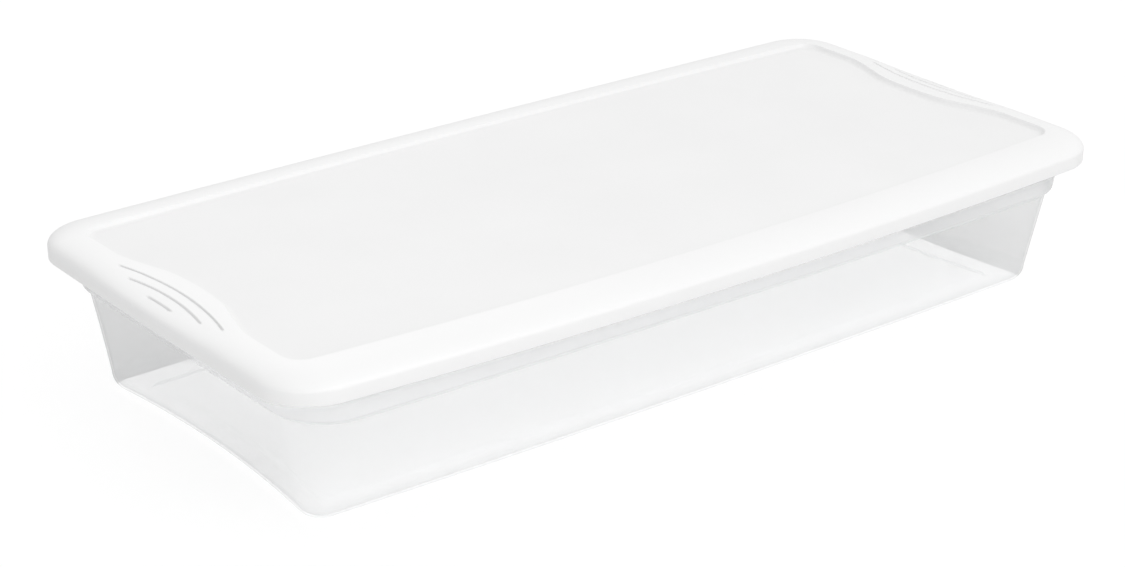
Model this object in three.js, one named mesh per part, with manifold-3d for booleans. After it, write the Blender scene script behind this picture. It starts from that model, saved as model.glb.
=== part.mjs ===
// Shallow under-bed storage box: a one-piece moulded tub and its lift-off lid.
// Millimetres, +Z up. The origin is the middle of the footprint, on the surface the box stands on,
// with the long side along X.

import * as THREE from 'three';
import { mergeVertices } from 'three/addons/utils/BufferGeometryUtils.js';
import Module from 'manifold-3d';

// Driving dimensions
const LENGTH = 886; // over the lid, at the middle of its ends
const WIDTH = 430; // over the lid at mid-length, where its long sides bow out most
const HEIGHT = 147; // standing surface to the crest of the lid's border, at the ends
const WALL = 2; // moulded wall thickness of both pieces
const RIM_SAG = 3; // how far the rim and the lid's border dip at mid-length

// Lid
const LID_END_BOW = 2; // outward bow of the lid's ends
const LID_SIDE_BOW = 10.5; // outward bow of the lid's long sides
const LID_CORNER = 46; // plan radius of the skirt's corners
const SKIRT_HEIGHT = 22.5; // lower edge of the skirt to the crest of the border
const CROWN_DROP = 12; // height of the border's rounded outer shoulder
const SIDE_BORDER = 37; // border width along the long sides
const END_BORDER = 27; // border width along the ends, beside the grip tab
const PANEL_CORNER = 18; // plan radius of the recessed panel's corners
const PANEL_DEPTH = 5; // crest of the border down to the panel, at the ends
const PANEL_SAG = 1.5; // dip of the panel's edge at mid-length
const RISER_RUN = 3.5; // width of the slope between border and panel
const PANEL_FLAT = [300, 110]; // half-size of the level middle of the panel

// Grip tab: the border swells inward at the middle of each end
const TAB_REACH = 18.5; // how far the tab swells inward
const TAB_CROWN = 35; // half-width of the tab's full-depth middle
const TAB_FOOT = 105; // half-width where the tab has run out

// Three grooves incised in each tab: distance inward from the lid's end, half-length and arc sagitta
const GROOVE_WIDTH = 1.8;
const GROOVES = [
  { inset: 31.5, halfLength: 80, sagitta: 10.5, floor: 145.2 },
  { inset: 21.5, halfLength: 57, sagitta: 6.2, floor: 143.7 },
  { inset: 11.5, halfLength: 18.5, sagitta: 0.6, floor: 141.9 },
];

// Tub: half-sizes are taken at the corners, before the bow is added
const RIM_TOP = 139.3; // top of the tub's rim, at the ends
const LIP = { halfLength: 435.5, halfWidth: 199, corner: 42, bottom: 126, shoulder: 134 };
const BAND_TOP = { halfLength: 421, halfWidth: 193.5, corner: 46, sideBow: 9, z: 126 };
const BAND_FOOT = { halfLength: 418.5, halfWidth: 190.5, corner: 46, sideBow: 5.5, z: 99 };
const WALL_TOP = { halfLength: 414.5, halfWidth: 187, corner: 46, sideBow: 5.5, z: 96 };
const WALL_FOOT = { halfLength: 404, halfWidth: 166, corner: 26, sideBow: 5.5 };
const TUB_END_BOW = 1.5; // outward bow of the tub's ends at the band
const END_DISH = 11.5; // how far the end walls are drawn in at their foot, at mid-width
const FOOT_ROUND = 18; // radius between walls and floor
const FOOT_WIDTH = 12; // width of the ring that the tub stands on
const FOOT_HEIGHT = 3; // how far the floor is raised inside that ring
const LEAST_CORNER = 5; // plan radius below which no corner of the floor goes

// Outline sampling
const CORNER_STEPS = 6;
const SIDE_STEPS = 14;
const END_STEPS = 20;
const LEVEL_ROUND = Math.PI / 2;

const lerp = THREE.MathUtils.lerp;

// How far the grip tab swells inward at a distance y from the middle of the end, as a share of 1.
function tabShape(y) {
  const run = THREE.MathUtils.smoothstep(TAB_FOOT - Math.abs(y), 0, TAB_FOOT - TAB_CROWN);
  const arch = 1 - 0.1 * (y / TAB_CROWN) ** 2 * run;
  return run * arch;
}

// Dip of the rim at a distance x from mid-length, as a share of 1.
function sagShape(x) {
  return Math.max(0, 1 - (x / (LENGTH / 2 - END_BORDER)) ** 2);
}

// Quarter circle of a rounded rectangle's corner, counter-clockwise.
function cornerPoints(centreX, centreY, radius, startAngle) {
  const points = [];
  for (let i = 0; i < CORNER_STEPS; i++) {
    const angle = startAngle + (LEVEL_ROUND * i) / CORNER_STEPS;
    points.push([centreX + radius * Math.cos(angle), centreY + radius * Math.sin(angle)]);
  }
  return points;
}

// Straight run from one point towards another, without its last point.
function runPoints(from, to, steps) {
  const points = [];
  for (let i = 0; i < steps; i++) {
    points.push([lerp(from[0], to[0], i / steps), lerp(from[1], to[1], i / steps)]);
  }
  return points;
}

// Rounded rectangle, counter-clockwise from the middle of the +X end's corner.
function roundedRectangle(halfLength, halfWidth, corner) {
  const x = halfLength - corner;
  const y = halfWidth - corner;
  return [
    ...cornerPoints(x, y, corner, 0),
    ...runPoints([x, halfWidth], [-x, halfWidth], SIDE_STEPS),
    ...cornerPoints(-x, y, corner, LEVEL_ROUND),
    ...runPoints([-halfLength, y], [-halfLength, -y], END_STEPS),
    ...cornerPoints(-x, -y, corner, 2 * LEVEL_ROUND),
    ...runPoints([-x, -halfWidth], [x, -halfWidth], SIDE_STEPS),
    ...cornerPoints(x, -y, corner, 3 * LEVEL_ROUND),
    ...runPoints([halfLength, -y], [halfLength, y], END_STEPS),
  ];
}

// One level of a shell: a rounded rectangle with bowed sides, optional grip tabs and a sagging height.
function ringPoints(ring) {
  const { halfLength, halfWidth, corner, z } = ring;
  const { sideBow = 0, endBow = 0, tab = 0, sag = 0 } = ring;
  return roundedRectangle(halfLength, halfWidth, corner).map(([x, y]) => {
    const bowedX = x * (1 + (endBow / halfLength) * (1 - (y / halfWidth) ** 2));
    const bowedY = y * (1 + (sideBow / halfWidth) * (1 - (x / halfLength) ** 2));
    const tabX = Math.abs(x) > halfLength - 1e-6 ? Math.sign(x) * tab * tabShape(bowedY) : 0;
    return new THREE.Vector3(bowedX - tabX, bowedY, z - sag * sagShape(bowedX));
  });
}

// Closed solid through a list of rings, its first and last rings closed by fans to their middles.
function loftRings(rings) {
  const levels = rings.map(ringPoints);
  const count = levels[0].length;
  const positions = levels.flat().flatMap((point) => point.toArray());
  const first = levels.length * count;
  positions.push(0, 0, rings[0].z - (rings[0].sag ?? 0));
  positions.push(0, 0, rings.at(-1).z - (rings.at(-1).sag ?? 0));
  const faces = [];
  for (let i = 0; i < count; i++) {
    const next = (i + 1) % count;
    for (let level = 0; level < levels.length - 1; level++) {
      const low = level * count;
      const high = low + count;
      faces.push(low + i, low + next, high + next);
      faces.push(low + i, high + next, high + i);
    }
    const last = (levels.length - 1) * count;
    faces.push(first, next, i);
    faces.push(first + 1, last + i, last + next);
  }
  const geometry = new THREE.BufferGeometry();
  geometry.setAttribute('position', new THREE.Float32BufferAttribute(positions, 3));
  geometry.setIndex(faces);
  return geometry;
}

// A level of the lid. share runs from 0 at the skirt to 1 at the inner edge of the border, and inward
// counts on from there. skin is 0 on the top surface and the wall thickness on the underside.
function lidRing(share, z, skin, inward = 0) {
  return {
    halfLength: LENGTH / 2 - LID_END_BOW - skin - share * (END_BORDER - skin) - inward,
    halfWidth: WIDTH / 2 - LID_SIDE_BOW - skin - share * (SIDE_BORDER - skin) - inward,
    corner: lerp(LID_CORNER - skin, PANEL_CORNER, share) - inward / 2,
    sideBow: LID_SIDE_BOW,
    endBow: LID_END_BOW * (1 - share),
    tab: share * TAB_REACH,
    sag: RIM_SAG,
    z,
  };
}

// The border's crown is a quarter ellipse from the top of the skirt to the inner edge of the border.
function crownRings(skin, angles) {
  return angles.map((degrees) => {
    const angle = THREE.MathUtils.degToRad(degrees);
    const z = HEIGHT - skin - CROWN_DROP * (1 - Math.sin(angle));
    return lidRing(1 - Math.cos(angle), z, skin);
  });
}

// Slope down to the panel, the panel's edge and its level middle.
function panelRings(skin) {
  const floor = HEIGHT - PANEL_DEPTH - skin;
  const edge = { ...lidRing(1, floor, skin, RISER_RUN + skin / 2), sag: PANEL_SAG };
  const [halfLength, halfWidth] = PANEL_FLAT;
  const level = { halfLength, halfWidth, corner: PANEL_CORNER, z: floor - PANEL_SAG };
  return [edge, level];
}

function lidRings() {
  const angles = [0, 14, 28, 42, 56, 72, 90];
  const skirtFoot = HEIGHT - SKIRT_HEIGHT;
  const topSurface = [lidRing(0, skirtFoot, 0), ...crownRings(0, angles), ...panelRings(0)];
  const underside = [lidRing(0, skirtFoot, WALL), ...crownRings(WALL, angles), ...panelRings(WALL)];
  return [...underside.reverse(), ...topSurface];
}

// Upright band, standing across a tab, in the shape of one groove. The arc's hollow faces the end.
function grooveGeometry({ inset, halfLength, sagitta, floor }) {
  const radius = (halfLength ** 2 + sagitta ** 2) / (2 * sagitta);
  const spread = Math.asin(halfLength / radius);
  const outer = radius + GROOVE_WIDTH / 2;
  const inner = radius - GROOVE_WIDTH / 2;
  const shape = new THREE.Shape();
  shape.absarc(0, 0, outer, -spread, spread, false);
  shape.absarc(0, 0, inner, spread, -spread, true);
  shape.closePath();
  const depth = HEIGHT - floor + WALL;
  const geometry = new THREE.ExtrudeGeometry(shape, { depth, bevelEnabled: false, curveSegments: 10 });
  geometry.translate(inset - LENGTH / 2 - radius, 0, floor);
  return geometry;
}

function toManifold(wasm, geometry) {
  const bare = geometry.clone();
  bare.deleteAttribute('normal');
  bare.deleteAttribute('uv');
  const merged = mergeVertices(bare, 1e-4);
  const vertProperties = new Float32Array(merged.attributes.position.array);
  const triVerts = new Uint32Array(merged.index.array);
  return new wasm.Manifold(new wasm.Mesh({ numProp: 3, vertProperties, triVerts }));
}

function fromManifold(solid) {
  const mesh = solid.getMesh();
  const geometry = new THREE.BufferGeometry();
  geometry.setAttribute('position', new THREE.Float32BufferAttribute(mesh.vertProperties, 3));
  geometry.setIndex(new THREE.Uint32BufferAttribute(mesh.triVerts, 1));
  return geometry;
}

function makeLid(wasm, material) {
  let solid = toManifold(wasm, loftRings(lidRings()));
  for (const groove of GROOVES) {
    const near = grooveGeometry(groove);
    const far = near.clone().rotateZ(Math.PI);
    solid = solid.subtract(toManifold(wasm, near)).subtract(toManifold(wasm, far));
  }
  const geometry = fromManifold(solid);
  geometry.computeVertexNormals();
  const mesh = new THREE.Mesh(geometry, material);
  mesh.name = 'lid';
  return mesh;
}

// A ring drawn in on every side by the wall thickness.
function drawnIn(ring, by, lift = 0) {
  return {
    ...ring,
    halfLength: ring.halfLength - by,
    halfWidth: ring.halfWidth - by,
    corner: Math.max(ring.corner - by, LEAST_CORNER),
    z: ring.z + lift,
  };
}

// The rounding between floor and wall, from the foot (0 degrees) up to the wall (90 degrees).
function footRing(degrees, skin) {
  const angle = THREE.MathUtils.degToRad(degrees);
  const radius = FOOT_ROUND - skin;
  const inset = skin + radius * (1 - Math.sin(angle));
  const z = FOOT_ROUND - radius * Math.cos(angle);
  return drawnIn({ ...WALL_FOOT, endBow: -END_DISH, z }, inset);
}

// Levels of the wall between its foot and its top, over which the end walls' dish fades out.
function wallRings(skin, steps) {
  const rings = [];
  for (let i = 1; i <= steps; i++) {
    const share = i / steps;
    const ring = {
      halfLength: lerp(WALL_FOOT.halfLength, WALL_TOP.halfLength, share),
      halfWidth: lerp(WALL_FOOT.halfWidth, WALL_TOP.halfWidth, share),
      corner: lerp(WALL_FOOT.corner, WALL_TOP.corner, share),
      sideBow: WALL_TOP.sideBow,
      endBow: lerp(-END_DISH, TUB_END_BOW, share),
      z: lerp(FOOT_ROUND, WALL_TOP.z, share),
    };
    rings.push(drawnIn(ring, skin));
  }
  return rings;
}

// The collar band between the step above the wall and the flange that carries the lid.
function bandRings(skin) {
  const foot = { ...BAND_FOOT, endBow: TUB_END_BOW };
  const top = { ...BAND_TOP, endBow: TUB_END_BOW, sag: RIM_SAG };
  return [drawnIn(foot, skin), drawnIn(top, skin)];
}

// A level of the rim: inset is measured inward from the outer face of the lip.
function rimRing(inset, z) {
  const ring = { ...LIP, endBow: LID_END_BOW, sideBow: LID_SIDE_BOW, sag: RIM_SAG, z };
  return drawnIn(ring, inset);
}

// Flange out from the band, the turned-down lip and the rounded crest of the rim.
function rimRings() {
  const flange = LIP.bottom + WALL;
  const root = { ...BAND_TOP, endBow: TUB_END_BOW, sideBow: LID_SIDE_BOW, sag: RIM_SAG };
  const crestInner = drawnIn({ ...root, z: RIM_TOP - 1 }, WALL - 0.8);
  return [
    { ...root, z: flange },
    rimRing(WALL, flange),
    rimRing(WALL, LIP.bottom),
    rimRing(0, LIP.bottom),
    rimRing(0, LIP.shoulder),
    rimRing(0.8, LIP.shoulder + 2.5),
    rimRing(2.8, RIM_TOP - 0.6),
    rimRing(4.6, RIM_TOP),
    { ...crestInner, halfLength: crestInner.halfLength + 1.2, z: RIM_TOP },
    drawnIn({ ...root, z: RIM_TOP - 3 }, WALL),
  ];
}

function tubRings() {
  const footInner = drawnIn({ ...footRing(0, 0), z: 0 }, FOOT_WIDTH);
  const panelEdge = drawnIn({ ...footInner, z: FOOT_HEIGHT }, WALL);
  const outerRound = [0, 22, 45, 68, 90].map((degrees) => footRing(degrees, 0));
  const innerRound = [90, 60, 30, 0].map((degrees) => footRing(degrees, WALL));
  return [
    panelEdge,
    footInner,
    ...outerRound,
    ...wallRings(0, 3),
    ...bandRings(0),
    ...rimRings(),
    ...bandRings(WALL).reverse(),
    ...wallRings(WALL, 3).reverse(),
    ...innerRound,
    drawnIn({ ...footInner, z: WALL }, 1),
    drawnIn({ ...panelEdge, z: FOOT_HEIGHT + WALL }, 1),
  ];
}

function makeTub(material) {
  const geometry = loftRings(tubRings());
  geometry.computeVertexNormals();
  const mesh = new THREE.Mesh(geometry, material);
  mesh.name = 'tub';
  return mesh;
}

const whitePlastic = new THREE.MeshStandardMaterial({ color: 0xf4f4f2, roughness: 0.5, metalness: 0 });
const clearPlastic = new THREE.MeshStandardMaterial({
  color: 0xe6ebec,
  roughness: 0.2,
  metalness: 0,
  transparent: true,
  opacity: 0.4,
});

const wasm = await Module();
wasm.setup();

const box = new THREE.Group();
box.add(makeTub(clearPlastic), makeLid(wasm, whitePlastic));

export default box;
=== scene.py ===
import math

import bpy
import numpy as np
from mathutils import Matrix, Vector


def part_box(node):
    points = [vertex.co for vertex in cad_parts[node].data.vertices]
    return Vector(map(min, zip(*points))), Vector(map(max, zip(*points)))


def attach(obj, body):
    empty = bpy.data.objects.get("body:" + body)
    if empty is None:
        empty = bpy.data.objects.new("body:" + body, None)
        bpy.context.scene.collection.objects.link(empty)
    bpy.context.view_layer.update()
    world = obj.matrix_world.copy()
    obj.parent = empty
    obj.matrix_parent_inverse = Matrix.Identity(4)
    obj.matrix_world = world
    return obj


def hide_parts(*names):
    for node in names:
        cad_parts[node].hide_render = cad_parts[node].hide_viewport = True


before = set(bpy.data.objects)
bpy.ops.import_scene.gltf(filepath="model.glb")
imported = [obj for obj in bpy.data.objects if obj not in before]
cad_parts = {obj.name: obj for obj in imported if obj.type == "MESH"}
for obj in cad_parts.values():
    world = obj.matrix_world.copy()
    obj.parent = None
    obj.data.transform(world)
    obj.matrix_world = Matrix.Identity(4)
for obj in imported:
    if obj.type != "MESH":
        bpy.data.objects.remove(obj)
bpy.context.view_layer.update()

MM = 0.001

# Driving sizes, from the frame
LID_LOW, LID_HIGH = (Vector(corner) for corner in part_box("lid"))
TUB_HIGH = Vector(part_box("tub")[1])
HALF_LENGTH = LID_HIGH.x
HALF_WIDTH = LID_HIGH.y
HEIGHT = LID_HIGH.z

# Moulding, shared by both pieces
WALL = 2 * MM
RIM_SAG = 3 * MM  # dip of the rim and the lid's border at mid-length
SKIRT_FOOT = LID_LOW.z + RIM_SAG  # at the corners, above the dip

# Lid
LID_END_BOW = 2 * MM
LID_SIDE_BOW = 10.5 * MM
LID_CORNER = 46 * MM
CROWN_DROP = 12 * MM
SIDE_BORDER = 37 * MM
END_BORDER = 27 * MM
PANEL_CORNER = 18 * MM
PANEL_DEPTH = 5 * MM
PANEL_SAG = 1.5 * MM
RISER_RUN = 3.5 * MM
PANEL_LIP = 1.2 * MM  # rounded edge between the border and the slope down to the panel
PANEL_BLEND = 12 * MM  # ring of panel beside the slope that still dips with the rim
PANEL_FLAT = (300 * MM, 110 * MM)
TAB_REACH = 18.5 * MM
TAB_CROWN = 35 * MM
TAB_FOOT = 105 * MM
TAB_ARCH = 0.1  # how much the tab's crown falls off towards its shoulders, as a share of its reach

# Grooves in each grip tab: inset from the lid's end, half-length and sagitta of the arc
GROOVE_WIDTH = 2.2 * MM
GROOVE_DEPTH = 1.6 * MM
GROOVE_FLAT = 0.45  # share of the groove's half-width that is level at the bottom
GROOVES = (
    (31.5 * MM, 80 * MM, 10.5 * MM),
    (21.5 * MM, 57 * MM, 6.2 * MM),
    (11.5 * MM, 18.5 * MM, 0.6 * MM),
)

# Tub: half-length, half-width and corner radius of each level, before the sides bow
RIM_TOP = TUB_HIGH.z
LIP = (435.5 * MM, 199 * MM, 42 * MM)
LIP_FOOT = 126 * MM
BAND_TOP = (421 * MM, 193.5 * MM, 46 * MM)
BAND_TOP_Z = 126 * MM
BAND_FOOT = (418.5 * MM, 190.5 * MM, 46 * MM)
BAND_FOOT_Z = 99 * MM
WALL_TOP = (414.5 * MM, 187 * MM, 46 * MM)
WALL_TOP_Z = 96 * MM
WALL_FOOT = (404 * MM, 166 * MM, 26 * MM)
TUB_SIDE_BOW = 5.5 * MM
BAND_TOP_BOW = 9 * MM
TUB_END_BOW = 1.5 * MM
END_DISH = 11.5 * MM
FOOT_ROUND = 18 * MM
FOOT_WIDTH = 12 * MM
FOOT_HEIGHT = 3 * MM
FLOOR_RING = 60 * MM  # the floor's innermost level is this far in from the foot ring
CREST_INSET = 0.5 * MM  # the inner edge of the rim's top stands this far inside the band's top
MOUTH_DEPTH = 6 * MM  # how far below its top the rim turns into the inner wall
LEAST_CORNER = 5 * MM

# Outline sampling
CORNER_STEPS = 16
SIDE_STEPS = 72
END_STEPS = 120
BEND_STEPS = 5
PANEL_BEND_STEPS = 8
SKIRT_BEND_STEPS = 6
SHOULDER_DEGREES = 35  # part of the crown that is sampled by angle
TOP_CROWN_ROWS = (12, 92)  # levels on the shoulder, then over the rest of the crown
UNDER_CROWN_ROWS = (8, 14)
FOOT_STEP_DEGREES = 9
WALL_SHARES = (0.25, 0.5, 0.75)
RISER_ROWS = 12  # levels past the border's inner edge that are still the border's plastic

# A level of a shell is one row of these numbers
FIELDS = ("half_length", "half_width", "corner", "side_bow", "end_bow", "tab", "sag", "z", "round")


def level(size, z, **extra):
    """One level of a shell, from its half-length, half-width and corner radius."""
    values = dict(zip(FIELDS[:3], size), z=z, **extra)
    return np.array([values.get(field, 0.0) for field in FIELDS])


def field(levels, name):
    """One field of every level, as a column."""
    return levels[:, FIELDS.index(name)][:, None]


def drawn_in(row, by, z=None, **extra):
    """A level drawn in on every side by the same amount."""
    values = dict(zip(FIELDS, row))
    values["half_length"] -= by
    values["half_width"] -= by
    values["corner"] = max(values["corner"] - by, LEAST_CORNER)
    values["z"] = values["z"] if z is None else z
    values.update(extra)
    return np.array([values[name] for name in FIELDS])


def outline_samples():
    """Rows of (ux, uy, cx, cy): a point is u * (half size - corner) + c * corner."""
    rows = []
    quarter = math.pi / 2
    for turn in range(4):
        sx, sy = ((1, 1), (-1, 1), (-1, -1), (1, -1))[turn]
        for i in range(CORNER_STEPS):
            angle = quarter * (turn + i / CORNER_STEPS)
            rows.append((sx, sy, math.cos(angle), math.sin(angle)))
        steps = SIDE_STEPS if turn % 2 == 0 else END_STEPS
        for i in range(steps):
            along = 1 - 2 * i / steps
            if turn % 2 == 0:
                rows.append((sx * along, sy, 0, sy))
            else:
                rows.append((sx, sy * along, sx, 0))
    return np.array(rows, dtype=float)


OUTLINE = outline_samples()


def smoothstep(value, low, high):
    """0 below low, 1 above high, and a smooth rise between them."""
    share = np.clip((value - low) / (high - low), 0, 1)
    return share * share * (3 - 2 * share)


def tab_shape(y):
    """How far the grip tab swells inward at y, as a share of its reach."""
    run = smoothstep(TAB_FOOT - np.abs(y), 0, TAB_FOOT - TAB_CROWN)
    return run * (1 - TAB_ARCH * (y / TAB_CROWN) ** 2 * run)


def sag_shape(x):
    """Dip of the rim at x, as a share of its dip at mid-length."""
    return np.maximum(0, 1 - (x / (HALF_LENGTH - END_BORDER)) ** 2)


def surface_points(levels):
    """Points of every level: an array of levels by outline samples by three."""
    ux, uy, cx, cy = OUTLINE.T
    half_length, half_width = field(levels, "half_length"), field(levels, "half_width")
    corner = field(levels, "corner")
    x = ux * (half_length - corner) + cx * corner
    y = uy * (half_width - corner) + cy * corner
    bowed_x = x * (1 + field(levels, "end_bow") / half_length * (1 - (y / half_width) ** 2))
    bowed_y = y * (1 + field(levels, "side_bow") / half_width * (1 - (x / half_length) ** 2))
    on_end = np.abs(cx) == 1
    tab_x = np.where(on_end, np.sign(x) * field(levels, "tab") * tab_shape(bowed_y), 0)
    z = field(levels, "z") - field(levels, "sag") * sag_shape(bowed_x)
    return np.stack([bowed_x - tab_x, bowed_y, z], axis=-1)


def section_length(a, b):
    """Distance between two levels, measured in the wall's own section."""
    step = (b - a)[[FIELDS.index("half_width"), FIELDS.index("half_length"), FIELDS.index("z")]]
    return math.hypot(step[2], max(abs(step[0]), abs(step[1])))


def rounded_path(levels, steps=BEND_STEPS):
    """The levels with each bend rounded off over its own 'round' distance."""
    path = [levels[0]]
    for before, here, after in zip(levels, levels[1:], levels[2:]):
        reach = here[FIELDS.index("round")]
        if reach == 0:
            path.append(here)
            continue
        into = min(0.5, reach / max(section_length(before, here), 1e-9))
        out = min(0.5, reach / max(section_length(here, after), 1e-9))
        start = here + (before - here) * into
        end = here + (after - here) * out
        for i in range(steps + 1):
            t = i / steps
            path.append((1 - t) ** 2 * start + 2 * t * (1 - t) * here + t * t * end)
    path.append(levels[-1])
    return np.array(path)


def shell_object(name, points, closing, materials, slot_of_band):
    """Closed mesh through the levels' points, with a fan to a middle point at each end."""
    level_count, count = points.shape[:2]
    vertices = np.vstack([points.reshape(-1, 3), closing])
    faces, slots = [], []
    for row in range(level_count - 1):
        low, high = row * count, (row + 1) * count
        for i in range(count):
            j = (i + 1) % count
            faces.append((low + i, low + j, high + j, high + i))
            slots.append(slot_of_band[row])
    first, last = level_count * count, (level_count - 1) * count
    for i in range(count):
        j = (i + 1) % count
        faces.append((first, j, i))
        slots.append(slot_of_band[0])
        faces.append((first + 1, last + i, last + j))
        slots.append(slot_of_band[-1])
    mesh = bpy.data.meshes.new(name)
    mesh.from_pydata(vertices.tolist(), [], faces)
    for material in materials:
        mesh.materials.append(material)
    mesh.polygons.foreach_set("material_index", slots)
    mesh.polygons.foreach_set("use_smooth", [True] * len(faces))
    mesh.update()
    piece = bpy.data.objects.new(name, mesh)
    bpy.context.scene.collection.objects.link(piece)
    return piece


# ---------------------------------------------------------------- lid


def lid_level(share, z, skin, inward=0.0, **extra):
    """A level of the lid: share runs from 0 at the skirt to 1 at the border's inner edge."""
    size = (
        HALF_LENGTH - LID_END_BOW - skin - share * (END_BORDER - skin) - inward,
        HALF_WIDTH - LID_SIDE_BOW - skin - share * (SIDE_BORDER - skin) - inward,
        (1 - share) * (LID_CORNER - skin) + share * PANEL_CORNER - inward / 2,
    )
    values = dict(
        side_bow=LID_SIDE_BOW,
        end_bow=LID_END_BOW * (1 - share),
        tab=share * TAB_REACH,
        sag=RIM_SAG,
    )
    values.update(extra)
    return level(size, z, **values)


def crown_levels(skin, shoulder_rows, top_rows):
    """Quarter-ellipse crown from the top of the skirt to the border's inner edge."""
    shoulder = np.radians(np.linspace(0, SHOULDER_DEGREES, shoulder_rows))
    shares = list(1 - np.cos(shoulder))
    shares += list(np.linspace(shares[-1], 1, top_rows)[1:])
    rows = []
    for share in shares:
        rise = math.sqrt(max(0.0, 1 - (1 - share) ** 2))
        rows.append(lid_level(share, HEIGHT - skin - CROWN_DROP * (1 - rise), skin))
    return rows


def panel_levels(skin):
    """Slope from the border down to the panel, with a soft edge and foot."""
    crest = HEIGHT - skin
    floor = crest - PANEL_DEPTH
    run = RISER_RUN + skin / 2
    edge = lid_level(1, crest, skin)
    lip = lid_level(1, crest, skin, PANEL_LIP, round=1.1 * MM)
    foot = lid_level(1, floor, skin, run, sag=PANEL_SAG, round=3.5 * MM)
    beyond = lid_level(1, floor, skin, run + PANEL_BLEND, sag=PANEL_SAG)
    flat = level((*PANEL_FLAT, PANEL_CORNER), floor - PANEL_SAG)
    return rounded_path([edge, lip, foot, beyond, flat], steps=PANEL_BEND_STEPS)


def skirt_levels(skin, reach):
    """Upright skirt, from its foot to the start of the crown."""
    start = lid_level(0, SKIRT_FOOT, reach)
    side = lid_level(0, SKIRT_FOOT, skin, round=0.8 * MM)
    top = lid_level(0, HEIGHT - skin - CROWN_DROP, skin)
    return rounded_path([start, side, top], steps=SKIRT_BEND_STEPS)


def groove_depth(x, y):
    """Depth of the incised arcs at a point of the lid's top."""
    depth = np.zeros_like(x)
    for inset, half_length, sagitta in GROOVES:
        radius = (half_length**2 + sagitta**2) / (2 * sagitta)
        centre_x = HALF_LENGTH - inset + radius
        across = np.abs(np.hypot(np.abs(x) - centre_x, y) - radius)
        beyond_end = np.maximum(0, np.abs(y) - half_length + GROOVE_WIDTH / 2)
        away = np.hypot(across, beyond_end) / (GROOVE_WIDTH / 2)
        depth = np.maximum(depth, GROOVE_DEPTH * (1 - smoothstep(away, GROOVE_FLAT, 1)))
    return depth


def build_lid(border, panel):
    """The lid as one closed shell, with its depth of groove kept for the material's painted groove shade.
    """
    middle = WALL / 2
    top = np.vstack([skirt_levels(0, middle)[:-1], crown_levels(0, *TOP_CROWN_ROWS), panel_levels(0)[1:]])
    under_crown = crown_levels(WALL, *UNDER_CROWN_ROWS)
    under = np.vstack([skirt_levels(WALL, middle)[1:-1], under_crown, panel_levels(WALL)[1:]])
    top_points = surface_points(top)
    incised = groove_depth(top_points[..., 0], top_points[..., 1])
    top_points[..., 2] -= incised
    points = np.concatenate([surface_points(under)[::-1], top_points])
    closing = [(0, 0, under[-1][FIELDS.index("z")]), (0, 0, top[-1][FIELDS.index("z")])]
    is_panel = np.abs(top[:, FIELDS.index("tab")] - TAB_REACH) < 1e-9
    first_panel = len(under) + int(np.argmax(is_panel)) + RISER_ROWS
    band_slots = [1 if row >= first_panel else 0 for row in range(len(points) - 1)]
    lid = shell_object("lid_shell", points, closing, [border, panel], band_slots)
    # Groove depth per point, read by the material to paint shade into the grooves
    plain = np.zeros(len(under) * len(OUTLINE))
    depths = np.concatenate([plain, incised.ravel() / GROOVE_DEPTH, [0, 0]])
    lid.data.attributes.new("incised", "FLOAT", "POINT").data.foreach_set("value", depths)
    return lid


# ---------------------------------------------------------------- tub


def foot_level(degrees, skin):
    """A level of the rounding between floor and wall, from 0 at the foot to 90 at the wall."""
    radius = FOOT_ROUND - skin
    angle = math.radians(degrees)
    row = level(WALL_FOOT, FOOT_ROUND - radius * math.cos(angle), side_bow=TUB_SIDE_BOW, end_bow=-END_DISH)
    return drawn_in(row, skin + radius * (1 - math.sin(angle)))


def wall_level(share, skin, **extra):
    """A level of the wall, from 0 at its foot to 1 below the step."""
    size = [a + (b - a) * share for a, b in zip(WALL_FOOT, WALL_TOP)]
    end_bow = -END_DISH + (TUB_END_BOW + END_DISH) * share
    z = FOOT_ROUND + (WALL_TOP_Z - FOOT_ROUND) * share
    row = level(size, z, side_bow=TUB_SIDE_BOW, end_bow=end_bow, **extra)
    return drawn_in(row, skin)


def rim_level(inset, z, **extra):
    """A level of the rim, measured inward from the outer face of the lip."""
    row = level(LIP, z, side_bow=LID_SIDE_BOW, end_bow=LID_END_BOW, sag=RIM_SAG, **extra)
    return drawn_in(row, inset)


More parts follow.
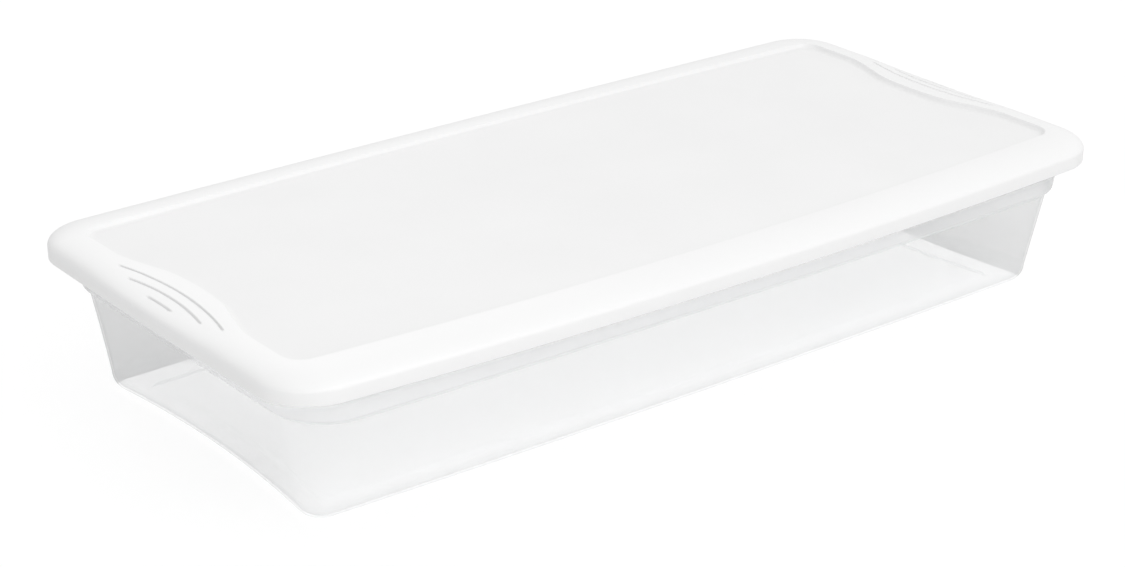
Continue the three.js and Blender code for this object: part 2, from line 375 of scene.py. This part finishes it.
def tub_section():
    """Levels from the underside of the floor, up the outside, over the rim and down the inside."""
    foot_inner = drawn_in(foot_level(0, 0), FOOT_WIDTH, z=0.0)
    panel_edge = drawn_in(foot_inner, WALL, z=FOOT_HEIGHT, round=1 * MM)
    under_floor = drawn_in(foot_inner, FLOOR_RING, z=FOOT_HEIGHT)
    foot_degrees = range(0, 91, FOOT_STEP_DEGREES)
    outer_round = [foot_level(degrees, 0) for degrees in foot_degrees]
    outer_wall = [wall_level(share, 0) for share in WALL_SHARES]
    wall_top = wall_level(1, 0, round=1.6 * MM)
    band_foot = level(
        BAND_FOOT, BAND_FOOT_Z, side_bow=TUB_SIDE_BOW, end_bow=TUB_END_BOW, round=1.4 * MM
    )
    band_top = level(BAND_TOP, BAND_TOP_Z, side_bow=BAND_TOP_BOW, end_bow=TUB_END_BOW, sag=RIM_SAG)
    flange = LIP_FOOT + WALL
    root = level(BAND_TOP, flange, side_bow=LID_SIDE_BOW, end_bow=TUB_END_BOW, sag=RIM_SAG, round=1 * MM)
    crest = drawn_in(root, CREST_INSET, z=RIM_TOP, round=1.5 * MM)
    outside = [
        under_floor,
        panel_edge,
        drawn_in(foot_inner, 0, round=0.8 * MM),
        *outer_round,
        *outer_wall,
        wall_top,
        band_foot,
        band_top,
        root,
        rim_level(WALL, flange, round=1 * MM),
        rim_level(WALL, LIP_FOOT, round=0.8 * MM),
        rim_level(0, LIP_FOOT, round=0.8 * MM),
        rim_level(0, RIM_TOP, round=4.5 * MM),
        crest,
    ]
    inside = [
        drawn_in(band_top, WALL, z=RIM_TOP - MOUTH_DEPTH, side_bow=LID_SIDE_BOW),
        drawn_in(band_top, WALL),
        drawn_in(band_foot, WALL, round=1.6 * MM),
        drawn_in(wall_top, WALL, round=1.4 * MM),
        *[wall_level(share, WALL) for share in reversed(WALL_SHARES)],
        *[foot_level(degrees, WALL) for degrees in reversed(foot_degrees)],
        drawn_in(foot_inner, 1 * MM, z=WALL, round=0.8 * MM),
        drawn_in(panel_edge, 1 * MM, z=FOOT_HEIGHT + WALL, round=1 * MM),
        drawn_in(under_floor, 1 * MM, z=FOOT_HEIGHT + WALL),
    ]
    return rounded_path(outside + inside)


def build_tub(plastic):
    """The tub as one closed shell."""
    levels = tub_section()
    closing = [(0, 0, FOOT_HEIGHT), (0, 0, FOOT_HEIGHT + WALL)]
    return shell_object("tub_shell", surface_points(levels), closing, [plastic], [0] * len(levels))


# ---------------------------------------------------------------- materials


PLASTIC_IOR = 1.49
DRIFT_SCALE = 9.0  # slow change of tone over the white plastic
GRAIN_DETAIL = 3.0
GRAIN_STRENGTH = 0.5
GROOVE_PAINTED_SHADE = 0.86  # painted shade: tone at the bottom of a groove, as a share of the plastic's own
BORDER_LOOK = dict(
    tones=(0.865, 0.895), roughness=(0.32, 0.42), gloss=0.5, grain_scale=900.0, grain_depth=0.05 * MM
)
PANEL_LOOK = dict(
    tones=(0.82, 0.90), roughness=(0.5, 0.65), gloss=0.2, grain_scale=1100.0, grain_depth=0.12 * MM
)

CLEAR_TINTS = ((0.90, 0.905, 0.91), (0.94, 0.945, 0.95))
CLEAR_ROUGHNESS = (0.16, 0.28)
FLOW_SCALE = 14.0
HAZE_SCALE = 260.0
HAZE_GRAIN = (0.2, 0.1 * MM)  # strength and depth
CLARITY = (0.12, 0.6)  # share of the light the clear plastic stops, seen face-on and edge-on
EDGE_SHARPNESS = 6  # how late a wall that turns away starts to look edge-on

# What some heights of the tub stop on top of that: where a change starts, where it ends, and the change
HAZE_STEPS = (
    (FOOT_ROUND, FOOT_ROUND / 2, 0.07),  # thicker floor and rounding
    (WALL_TOP_Z - 1 * MM, WALL_TOP_Z, 0.36),  # shaded step under the band
    (BAND_FOOT_Z - 0.5 * MM, BAND_FOOT_Z + 0.5 * MM, -0.16),  # frosted band
    (BAND_TOP_Z - 14 * MM, BAND_TOP_Z - 4 * MM, 0.4),  # root of the rim
)


def new_material(name):
    """A material with its nodes, its links and its Principled shader."""
    material = bpy.data.materials.new(name)
    material.use_nodes = True
    nodes = material.node_tree.nodes
    return material, nodes, material.node_tree.links, nodes["Principled BSDF"]


def noise(nodes, links, coordinates, scale, detail=2.0):
    """Noise laid out in the piece's own space, per metre."""
    node = nodes.new("ShaderNodeTexNoise")
    node.inputs["Scale"].default_value = scale
    node.inputs["Detail"].default_value = detail
    links.new(coordinates.outputs["Object"], node.inputs["Vector"])
    return node


def ramp(nodes, links, source, low, high):
    """Map a 0 to 1 source on to a narrower range."""
    node = nodes.new("ShaderNodeMapRange")
    node.inputs["To Min"].default_value = low
    node.inputs["To Max"].default_value = high
    links.new(source, node.inputs["Value"])
    return node.outputs["Result"]


def added(nodes, links, first, second):
    """Sum of two sources, kept between 0 and 1."""
    node = nodes.new("ShaderNodeMath")
    node.operation = "ADD"
    node.use_clamp = True
    links.new(first, node.inputs[0])
    links.new(second, node.inputs[1])
    return node.outputs[0]


def tinted(nodes, links, source, dark, light):
    """Colour that drifts between two close tints."""
    node = nodes.new("ShaderNodeMix")
    node.data_type = "RGBA"
    node.inputs["A"].default_value = (*dark, 1)
    node.inputs["B"].default_value = (*light, 1)
    links.new(source, node.inputs["Factor"])
    return node.outputs["Result"]


def grain(nodes, links, height, strength, distance, shader):
    """Bump on the shader's normal."""
    node = nodes.new("ShaderNodeBump")
    node.inputs["Strength"].default_value = strength
    node.inputs["Distance"].default_value = distance
    links.new(height, node.inputs["Height"])
    links.new(node.outputs["Normal"], shader.inputs["Normal"])


def white_plastic(name, tones, roughness, gloss, grain_scale, grain_depth):
    """Opaque white plastic with a fine grain, and shade painted a little darker down in the grooves."""
    material, nodes, links, shader = new_material(name)
    dark, light = ([tone] * 3 for tone in tones)
    place = nodes.new("ShaderNodeTexCoord")
    drift = noise(nodes, links, place, DRIFT_SCALE)
    pores = noise(nodes, links, place, grain_scale, GRAIN_DETAIL)
    incised = nodes.new("ShaderNodeAttribute")
    incised.attribute_name = "incised"
    # Painted shade: the base colour darkens towards the bottom of each groove, by its incised depth
    shade = nodes.new("ShaderNodeMix")
    shade.data_type = "RGBA"
    shade.inputs["B"].default_value = (*[GROOVE_PAINTED_SHADE * tone for tone in dark], 1)
    links.new(incised.outputs["Fac"], shade.inputs["Factor"])
    halves = [ramp(nodes, links, source.outputs["Fac"], 0.0, 0.5) for source in (drift, pores)]
    mottle = added(nodes, links, *halves)
    links.new(tinted(nodes, links, mottle, dark, light), shade.inputs["A"])
    links.new(shade.outputs["Result"], shader.inputs["Base Color"])
    links.new(ramp(nodes, links, pores.outputs["Fac"], *roughness), shader.inputs["Roughness"])
    grain(nodes, links, pores.outputs["Fac"], GRAIN_STRENGTH, grain_depth, shader)
    shader.inputs["IOR"].default_value = PLASTIC_IOR
    shader.inputs["Specular IOR Level"].default_value = gloss
    return material


def haze_step(nodes, links, height, start, end, change):
    """A change of haze between two heights."""
    node = nodes.new("ShaderNodeMapRange")
    node.inputs["From Min"].default_value = start
    node.inputs["From Max"].default_value = end
    node.inputs["To Max"].default_value = change
    links.new(height, node.inputs["Value"])
    return node.outputs["Result"]


def clear_plastic():
    """Clear plastic with a slight milky haze, denser where the wall is seen edge-on."""
    material, nodes, links, shader = new_material("clear_polypropylene")
    place = nodes.new("ShaderNodeTexCoord")
    flow = noise(nodes, links, place, FLOW_SCALE)
    haze = noise(nodes, links, place, HAZE_SCALE, GRAIN_DETAIL)
    links.new(tinted(nodes, links, flow.outputs["Fac"], *CLEAR_TINTS), shader.inputs["Base Color"])
    links.new(ramp(nodes, links, haze.outputs["Fac"], *CLEAR_ROUGHNESS), shader.inputs["Roughness"])
    grain(nodes, links, haze.outputs["Fac"], *HAZE_GRAIN, shader)
    shader.inputs["IOR"].default_value = PLASTIC_IOR
    tilt = nodes.new("ShaderNodeLayerWeight")
    tilt.inputs["Blend"].default_value = 0.5
    edge_on = nodes.new("ShaderNodeMath")
    edge_on.operation = "POWER"
    edge_on.inputs[1].default_value = EDGE_SHARPNESS
    links.new(tilt.outputs["Facing"], edge_on.inputs[0])
    stopped = ramp(nodes, links, edge_on.outputs[0], *CLARITY)
    height = nodes.new("ShaderNodeSeparateXYZ")
    links.new(place.outputs["Object"], height.inputs[0])
    for start, end, change in HAZE_STEPS:
        step = haze_step(nodes, links, height.outputs["Z"], start, end, change)
        stopped = added(nodes, links, stopped, step)
    links.new(stopped, shader.inputs["Alpha"])
    return material


# ---------------------------------------------------------------- studio

CAMERA_AZIMUTH = math.radians(-37.74)
CAMERA_ELEVATION = math.radians(23.33)
CAMERA_DISTANCE = 2.399
CAMERA_LENS = 85.2
SENSOR_WIDTH = 36
NEAR_CLIP = 0.05
AIM_RIGHT = -0.0233  # where the camera aims, from the origin, across and up its own view
AIM_UP = 0.0422

FLOOR_HALF = 6.0
FLOOR_TONE = 0.76
FLOOR_ROUGHNESS = 0.9
FLOOR_WHITE = 1.08  # brightness of the white that washes over the floor where it is seen directly
FLOOR_WASH = 0.8  # how much of that white there is
FLOOR_GAP = 0.1 * MM  # keeps the paper off the foot ring, which would otherwise share its plane
LIT_PANEL_EDGE = 65  # where on the foot's rounding the lit panel ends, in degrees
LIT_PANEL = (0.45, 0.66)  # base tone and glow of the floor under the box

BRIGHT_SIDE = (0.65, -0.2, 0.73)  # where the surroundings are brightest
WORLD_RANGE = (0.39, 1.0)  # their strength opposite that side and on it

# Each lamp: name, place, length and width, power
SOFTBOXES = (
    ("back_softbox", (0.4, 2.5, 1.8), (3.0, 1.2), 10),
    ("front_softbox", (0.1, -2.1, 2.0), (2.4, 1.0), 17),
    ("left_softbox", (-2.2, -1.4, 0.5), (1.5, 0.8), 7),
)


def add_camera():
    """Camera at the given angle, looking past the origin."""
    back = Vector((
        math.sin(CAMERA_AZIMUTH) * math.cos(CAMERA_ELEVATION),
        -math.cos(CAMERA_AZIMUTH) * math.cos(CAMERA_ELEVATION),
        math.sin(CAMERA_ELEVATION),
    ))
    right = Vector((math.cos(CAMERA_AZIMUTH), math.sin(CAMERA_AZIMUTH), 0))
    up = back.cross(right)
    place = back * CAMERA_DISTANCE + right * AIM_RIGHT + up * AIM_UP
    data = bpy.data.cameras.new("camera")
    data.lens = CAMERA_LENS
    data.sensor_width = SENSOR_WIDTH
    data.clip_start = NEAR_CLIP
    camera = bpy.data.objects.new("camera", data)
    camera.matrix_world = Matrix.Translation(place) @ Matrix((right, up, back)).transposed().to_4x4()
    bpy.context.scene.collection.objects.link(camera)
    bpy.context.scene.camera = camera


def add_softbox(name, place, size, power):
    """Rectangular area lamp that faces the origin."""
    data = bpy.data.lights.new(name, "AREA")
    data.shape = "RECTANGLE"
    data.size, data.size_y = size
    data.energy = power
    lamp = bpy.data.objects.new(name, data)
    lamp.location = place
    lamp.rotation_euler = (-Vector(place)).to_track_quat("-Z", "Y").to_euler()
    bpy.context.scene.collection.objects.link(lamp)


def add_world():
    """White surroundings that light the box more from the right than from the left."""
    world = bpy.data.worlds.new("studio")
    world.use_nodes = True
    nodes, links = world.node_tree.nodes, world.node_tree.links
    place = nodes.new("ShaderNodeTexCoord")
    towards = nodes.new("ShaderNodeVectorMath")
    towards.operation = "DOT_PRODUCT"
    towards.inputs[1].default_value = BRIGHT_SIDE
    links.new(place.outputs["Generated"], towards.inputs[0])
    strength = nodes.new("ShaderNodeMapRange")
    strength.inputs["From Min"].default_value = -1
    strength.inputs["To Min"].default_value, strength.inputs["To Max"].default_value = WORLD_RANGE
    links.new(towards.outputs["Value"], strength.inputs["Value"])
    path = nodes.new("ShaderNodeLightPath")
    shown = nodes.new("ShaderNodeMath")
    shown.operation = "MAXIMUM"
    links.new(strength.outputs["Result"], shown.inputs[0])
    links.new(path.outputs["Is Camera Ray"], shown.inputs[1])
    background = nodes["Background"]
    background.inputs["Color"].default_value = (1, 1, 1, 1)
    links.new(shown.outputs[0], background.inputs["Strength"])
    bpy.context.scene.world = world


def floor_paper(name, tone, glow):
    """Matt paper, almost shadowless where it is seen directly; a glow shows only through the tub."""
    material, nodes, links, shader = new_material(name)
    shader.inputs["Base Color"].default_value = (tone, tone, tone, 1)
    shader.inputs["Roughness"].default_value = FLOOR_ROUGHNESS
    path = nodes.new("ShaderNodeLightPath")
    unobstructed = nodes.new("ShaderNodeMath")
    unobstructed.operation = "LESS_THAN"
    unobstructed.inputs[1].default_value = 0.5
    links.new(path.outputs["Transparent Depth"], unobstructed.inputs[0])
    direct = nodes.new("ShaderNodeMath")
    direct.operation = "MULTIPLY"
    links.new(path.outputs["Is Camera Ray"], direct.inputs[0])
    links.new(unobstructed.outputs[0], direct.inputs[1])
    shader.inputs["Emission Color"].default_value = (1, 1, 1, 1)
    emitted = ramp(nodes, links, direct.outputs[0], glow, FLOOR_TONE - tone)
    links.new(emitted, shader.inputs["Emission Strength"])
    white = nodes.new("ShaderNodeEmission")
    white.inputs["Strength"].default_value = FLOOR_WHITE
    mix = nodes.new("ShaderNodeMixShader")
    links.new(ramp(nodes, links, direct.outputs[0], 0.0, FLOOR_WASH), mix.inputs[0])
    links.new(shader.outputs[0], mix.inputs[1])
    links.new(white.outputs[0], mix.inputs[2])
    links.new(mix.outputs[0], nodes["Material Output"].inputs["Surface"])
    return material


def add_floor():
    """Paper sweep with a lit panel let into it, in the outline of the tub's foot."""
    foot = foot_level(LIT_PANEL_EDGE, 0)
    foot[FIELDS.index("z")] = -FLOOR_GAP
    outline = surface_points(foot[None])[0].tolist()
    count = len(outline)
    second = CORNER_STEPS + SIDE_STEPS
    turns = [0, second, count // 2, count // 2 + second]  # first outline point of each rounded corner
    sheet = [(FLOOR_HALF * x, FLOOR_HALF * y, -FLOOR_GAP) for x, y in ((1, 1), (-1, 1), (-1, -1), (1, -1))]
    faces = [tuple(range(count))]
    for turn, start in enumerate(turns):
        end = turns[turn + 1] if turn < 3 else count
        inner = [i % count for i in range(end, start - 1, -1)]
        faces.append((count + turn, count + (turn + 1) % 4, *inner))
    mesh = bpy.data.meshes.new("floor")
    mesh.from_pydata(outline + sheet, [], faces)
    mesh.materials.append(floor_paper("floor_paper", FLOOR_TONE, 0.0))
    mesh.materials.append(floor_paper("lit_floor_panel", *LIT_PANEL))
    mesh.polygons[0].material_index = 1
    floor = bpy.data.objects.new("floor", mesh)
    bpy.context.scene.collection.objects.link(floor)


def set_exposure():
    """Enough bounces for the tub's stacked walls, and tones shown as they are."""
    scene = bpy.context.scene
    scene.cycles.max_bounces = 32
    scene.cycles.diffuse_bounces = 20
    scene.cycles.glossy_bounces = 16
    scene.cycles.transmission_bounces = 28
    scene.cycles.transparent_max_bounces = 24
    view = scene.view_settings
    view.view_transform = "Standard"
    view.look = "None"
    view.exposure = 0
    view.gamma = 1


add_camera()
add_world()
add_floor()
for softbox in SOFTBOXES:
    add_softbox(*softbox)
set_exposure()

lid = build_lid(white_plastic("lid_border", **BORDER_LOOK), white_plastic("lid_panel", **PANEL_LOOK))
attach(lid, "lid")
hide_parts("lid")

tub = build_tub(clear_plastic())
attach(tub, "tub")
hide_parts("tub")
